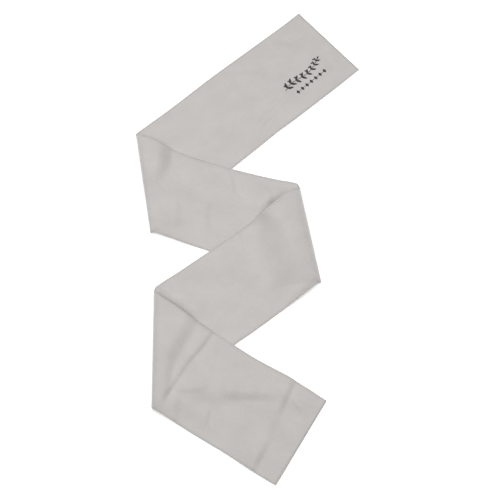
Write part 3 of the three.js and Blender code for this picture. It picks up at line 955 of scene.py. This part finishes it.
def ornament_shapes():
    """All marks of the ornament: the coat of ink that each is in, and its outline."""
    shares = np.linspace(0, 1, STEM_PARTS + 1)
    for i, (start, end) in enumerate(zip(shares, shares[1:])):
        here, angle = stem_place(start)
        ahead, _ = stem_place(end)
        reach = float(np.hypot(*(ahead - here))) * STEM_OVERLAP
        side = STEM_WIDTH / 2
        bar = [(0, -side), (reach, -side), (reach, side), (0, side)]
        yield i % 2, turned(bar, angle, here)
    for i in range(LEAF_PAIRS):
        share = (i + 0.5) / LEAF_PAIRS
        here, angle = stem_place(share)
        size = 1 - LEAF_TAPER * share
        for side in (1, -1):
            lean = angle + side * LEAF_LEAN
            coat = 2 if side > 0 else 3
            yield coat, turned(leaf_outline(LEAF_LENGTH * size, LEAF_WIDTH * size), lean, here)
        lean = angle + BERRY_LEAN
        berry = here + BERRY_REACH * np.array([math.cos(lean), math.sin(lean)])
        yield 4, turned(round_outline(BERRY_RADIUS, BERRY_CORNERS), 0, berry)
    tip, angle = stem_place(1)
    yield 5, turned(leaf_outline(LEAF_LENGTH * TIP_LEAF, LEAF_WIDTH * TIP_LEAF), angle, tip)
    wide, high = LOZENGE_SIZE
    lozenge = [(-wide, 0), (0, -high), (wide, 0), (0, high)]
    slant = math.atan2(LOZENGE_END[1] - LOZENGE_START[1], LOZENGE_END[0] - LOZENGE_START[0])
    for i in range(LOZENGES):
        centre = lerp(np.array(LOZENGE_START), np.array(LOZENGE_END), i / (LOZENGES - 1))
        yield 0, turned(lozenge, slant, centre)
        if i + 1 < LOZENGES:
            between = centre + (np.array(LOZENGE_END) - LOZENGE_START) / (LOZENGES - 1) / 2
            yield 0, turned(round_outline(DOT_RADIUS, DOT_CORNERS), 0, between)


print(len(list(ornament_shapes())), "marks of ink")

# %% [markdown]
# Ink hardly stands up from cloth. Each mark lies a few hundredths of a millimetre over the upper
# face, and follows it.

# %% Lay the ornament on the cloth
PRINT_LEFT = 121  # the drawing's lower left corner, along the strip and from its back edge
PRINT_FOOT = 119
INK_LIFT = 0.06
INK_STEP = 0.015  # between one coat and the next


def make_ornament():
    flat = []
    lifts = []
    faces = []
    for coat, outline in ornament_shapes():
        first = len(flat)
        flat.extend([outline.mean(axis=0), *outline])
        lifts.extend([INK_LIFT + INK_STEP * coat] * (len(outline) + 1))
        count = len(outline)
        faces.extend((first, first + 1 + k, first + 1 + (k + 1) % count) for k in range(count))
    flat = np.array(flat)
    lift = np.array(lifts)[:, None]
    points, outward = on_cloth(PRINT_LEFT - flat[:, 0], PRINT_FOOT - flat[:, 1], UPPER, lift)
    return make_mesh_object("printed_ornament", points, faces, flat)


ornament = make_ornament()
print("ornament of", len(ornament.data.polygons), "faces")

# %% [markdown]
# Every finish starts with its colour, written as it looks on a screen and then turned to the linear
# light that the renderer counts in. One small function adds a node with its settings and links.

# %% Colours and nodes


def linear(hex_colour):
    parts = [int(hex_colour[i : i + 2], 16) / 255 for i in (1, 3, 5)]
    light = [part / 12.92 if part <= 0.04045 else ((part + 0.055) / 1.055) ** 2.4 for part in parts]
    return (*light, 1)


def node(tree, kind, settings=None, links=None):
    """A node of a kind, with attributes or socket values set and sockets linked from others."""
    made = tree.nodes.new(kind)
    for name, value in (settings or {}).items():
        if name in made.inputs:
            made.inputs[name].default_value = value
        else:
            setattr(made, name, value)
    for name, source in (links or {}).items():
        tree.links.new(source, made.inputs[name])
    return made


def new_material(name):
    """A material with its node tree, its shader and nothing else."""
    material = bpy.data.materials.new(name)
    material.use_nodes = True
    tree = material.node_tree
    return material, tree, tree.nodes["Principled BSDF"]


print("white is", linear("#ffffff"))

# %% [markdown]
# The cloth is brushed polyester. Wire rollers tear its surface up into a nap of fine fibres, which
# hides the threads under it. To the eye that gives a soft, dull face: no weave and no gloss, a tone
# that wavers a little where the nap lies one way or the other, and a pale rim where the cloth
# curves away, because the fibres stand against the light there. An image could carry all this, but
# noise on the flat map needs no file and runs along the strip round every fold. It comes in three
# sizes: streaks that the rollers left along the strip, tufts of fibres, and broad patches where
# hands pressed the nap. Sheen makes the pale rim.

# %% The brushed cloth
NAP_TIPS = "#bfbcb9"
NAP_DEPTHS = "#b6b1af"
FIBRE_RIM = "#efedeb"
STREAK_SIZE = (14, 1.8)  # mm along the strip and across it. Real ones are 0.5 mm across
TUFT_SIZE = (2.4, 1.6)  # real tufts are 0.3 mm, too fine to show here, so they are drawn coarser
PATCH_SIZE = (46, 30)
NAP_NOISE = {"Scale": 1, "Detail": 2.5, "Roughness": 0.55}
TUFT_SHARE = 0.5  # of tufts in the nap, where the rest is streaks
PATCH_SHARE = 0.4  # of patches in the tone
TONE_RANGE = {"From Min": 0.35, "From Max": 0.65}  # noise keeps near its middle, so this is all of it
GLOSS_RANGE = {"From Min": 0.3, "From Max": 0.7}
NAP_HEIGHT = 0.35 * MM
MATT_NAP = 1.0  # roughness where the nap stands up
PRESSED_NAP = 0.86  # and where it was pressed down
SHEEN = 0.75
SHEEN_SPREAD = 0.52
FIBRE_GLINT = 0.2


def nap_pattern(tree, flat_map, size):
    """Soft noise on the flat map, in grains of a length along the strip and a width across it."""
    scale = (1 / (size[0] * MM), 1 / (size[1] * MM), 1)
    placed = node(tree, "ShaderNodeMapping", {"Scale": scale}, {"Vector": flat_map})
    noise = node(tree, "ShaderNodeTexNoise", NAP_NOISE, {"Vector": placed.outputs["Vector"]})
    return noise.outputs["Fac"]


def brushed_cloth():
    material, tree, shader = new_material("brushed_polyester_cloth")
    flat_map = node(tree, "ShaderNodeUVMap", {"uv_map": "flat_cut"}).outputs["UV"]
    streaks = nap_pattern(tree, flat_map, STREAK_SIZE)
    tufts = nap_pattern(tree, flat_map, TUFT_SIZE)
    patches = nap_pattern(tree, flat_map, PATCH_SIZE)
    nap = node(tree, "ShaderNodeMixRGB", {"Fac": TUFT_SHARE}, {"Color1": streaks, "Color2": tufts})
    tone = node(tree, "ShaderNodeMixRGB", {"Fac": PATCH_SHARE},
                {"Color1": nap.outputs["Color"], "Color2": patches})
    lit = node(tree, "ShaderNodeMapRange", TONE_RANGE, {"Value": tone.outputs["Color"]})
    colour = node(tree, "ShaderNodeMixRGB", {"Color1": linear(NAP_DEPTHS), "Color2": linear(NAP_TIPS)},
                  {"Fac": lit.outputs["Result"]})
    gloss = node(tree, "ShaderNodeMapRange",
                 {**GLOSS_RANGE, "To Min": PRESSED_NAP, "To Max": MATT_NAP}, {"Value": patches})
    relief = node(tree, "ShaderNodeBump", {"Strength": 1, "Distance": NAP_HEIGHT},
                  {"Height": nap.outputs["Color"]})
    tree.links.new(colour.outputs["Color"], shader.inputs["Base Color"])
    tree.links.new(gloss.outputs["Result"], shader.inputs["Roughness"])
    tree.links.new(relief.outputs["Normal"], shader.inputs["Normal"])
    shader.inputs["Sheen Weight"].default_value = SHEEN
    shader.inputs["Sheen Roughness"].default_value = SHEEN_SPREAD
    shader.inputs["Sheen Tint"].default_value = linear(FIBRE_RIM)
    shader.inputs["Specular IOR Level"].default_value = FIBRE_GLINT
    return material


cloth.data.materials.append(brushed_cloth())
print("cloth finished in", cloth.data.materials[0].name)

# %% [markdown]
# The edge is sewn with spun polyester thread, drawn a little darker than the cloth: partly the
# thread's own tone and partly painted shade along the rolled, sewn edge. It is spun from short
# fibres, so it has a duller gloss than a filament thread, and its tone changes a little from stitch
# to stitch. The print is screen-printed ink. It soaks into the nap and dries flat black, and here
# and there a few fibres stand up through it, which leaves flecks of dark grey.

# %% The sewing thread and the ink
# Both thread tones are darker than the cloth: the thread's own tone plus painted shade of the edge.
THREAD_PALE = "#b9b5b1"
THREAD_DARK_AND_EDGE_SHADE = "#a7a39f"
THREAD_FLECK = 1.3 * MM  # half a stitch. The fibres themselves are finer than the picture shows
THREAD_RELIEF = 0.05 * MM
THREAD_ROUGHNESS = 0.7
INK_BLACK = "#262527"
INK_FIBRE = "#434142"
INK_FLECK = 1.1 * MM  # coarser than the real fibres, so that it shows
INK_RELIEF = 0.1 * MM
INK_ROUGHNESS = 0.8
FLECK_RANGE = {"From Min": 0.4, "From Max": 0.65}


def flecked_finish(name, colours, grain, height, roughness):
    """A dull finish that goes from one colour to another in soft flecks of a given grain."""
    material, tree, shader = new_material(name)
    places = node(tree, "ShaderNodeTexCoord").outputs["Object"]
    flecks = node(tree, "ShaderNodeTexNoise", {"Scale": 1 / grain, "Detail": 2}, {"Vector": places})
    fleck = node(tree, "ShaderNodeMapRange", FLECK_RANGE, {"Value": flecks.outputs["Fac"]})
    first, second = (linear(colour) for colour in colours)
    colour = node(tree, "ShaderNodeMixRGB", {"Color1": first, "Color2": second},
                  {"Fac": fleck.outputs["Result"]})
    relief = node(tree, "ShaderNodeBump", {"Distance": height}, {"Height": flecks.outputs["Fac"]})
    tree.links.new(colour.outputs["Color"], shader.inputs["Base Color"])
    tree.links.new(relief.outputs["Normal"], shader.inputs["Normal"])
    shader.inputs["Roughness"].default_value = roughness
    return material


polyester_thread = flecked_finish(
    "spun_polyester_thread", (THREAD_DARK_AND_EDGE_SHADE, THREAD_PALE), THREAD_FLECK, THREAD_RELIEF, THREAD_ROUGHNESS
)
for thread in edge_threads:
    thread.data.materials.append(polyester_thread)
screen_print = flecked_finish(
    "screen_print_ink", (INK_BLACK, INK_FIBRE), INK_FLECK, INK_RELIEF, INK_ROUGHNESS
)
ornament.data.materials.append(screen_print)
print("sewn in", polyester_thread.name, "and printed in", screen_print.name)

# %% [markdown]
# The picture was taken on white, under one very large soft light. Its shading says where that light
# was: flat cloth is brightest, slopes darken on both sides, and slopes that face the left darken a
# little less. A wide disk high overhead does that, a touch to the left and behind. The paper glows
# faintly, so that it stays white and fills the folds from below, as a white table does.

# %% The floor and the light
FLOOR_SIZE = 12.0
FLOOR_DROP = 0.3 * MM
PAPER_WHITE = "#f3f3f3"
PAPER_GLOW = 0.2
PAPER_ROUGHNESS = 0.9
LAMP_PLACE = Vector((-0.08, 0.06, 1.6))
LAMP_SIZE = 2.6
LAMP_POWER = 46.5
ROOM_LIGHT = 0.04


def make_floor():
    half = FLOOR_SIZE / 2
    corners = [(-half, -half), (half, -half), (half, half), (-half, half)]
    mesh = bpy.data.meshes.new("floor")
    mesh.from_pydata([(x, y, -FLOOR_DROP) for x, y in corners], [], [(0, 1, 2, 3)])
    floor = add_to_scene(bpy.data.objects.new("floor", mesh))
    material, tree, shader = new_material("white_paper_sweep")
    shader.inputs["Base Color"].default_value = linear(PAPER_WHITE)
    shader.inputs["Roughness"].default_value = PAPER_ROUGHNESS
    shader.inputs["Emission Color"].default_value = linear("#ffffff")
    shader.inputs["Emission Strength"].default_value = PAPER_GLOW
    mesh.materials.append(material)
    return floor


def make_light():
    lamp = bpy.data.lights.new("soft_overhead", "AREA")
    lamp.shape = "DISK"
    lamp.size = LAMP_SIZE
    lamp.energy = LAMP_POWER
    light = add_to_scene(bpy.data.objects.new("soft_overhead", lamp))
    light.location = LAMP_PLACE
    light.rotation_mode = "QUATERNION"
    light.rotation_quaternion = LAMP_PLACE.to_track_quat("Z", "Y")
    world = bpy.data.worlds.new("studio")
    world.use_nodes = True
    background = world.node_tree.nodes["Background"]
    background.inputs["Color"].default_value = linear("#ffffff")
    background.inputs["Strength"].default_value = ROOM_LIGHT
    bpy.context.scene.world = world
    bpy.context.scene.view_settings.view_transform = "Standard"
    return light


floor = make_floor()
light = make_light()
print("lamp at", tuple(round(part, 2) for part in light.location))

# %% [markdown]
# Last, each piece says what it belongs to. The cloth stands for the plain solid of the packed
# model, which stays hidden. The sewing and the print go wherever the cloth goes. Nothing here
# moves by itself, so everything rides on the one still body.

# %% Say what each piece is
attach(cloth, "root")
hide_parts("key_cover_cloth")
for piece in (*edge_threads, ornament):
    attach(piece, "root")
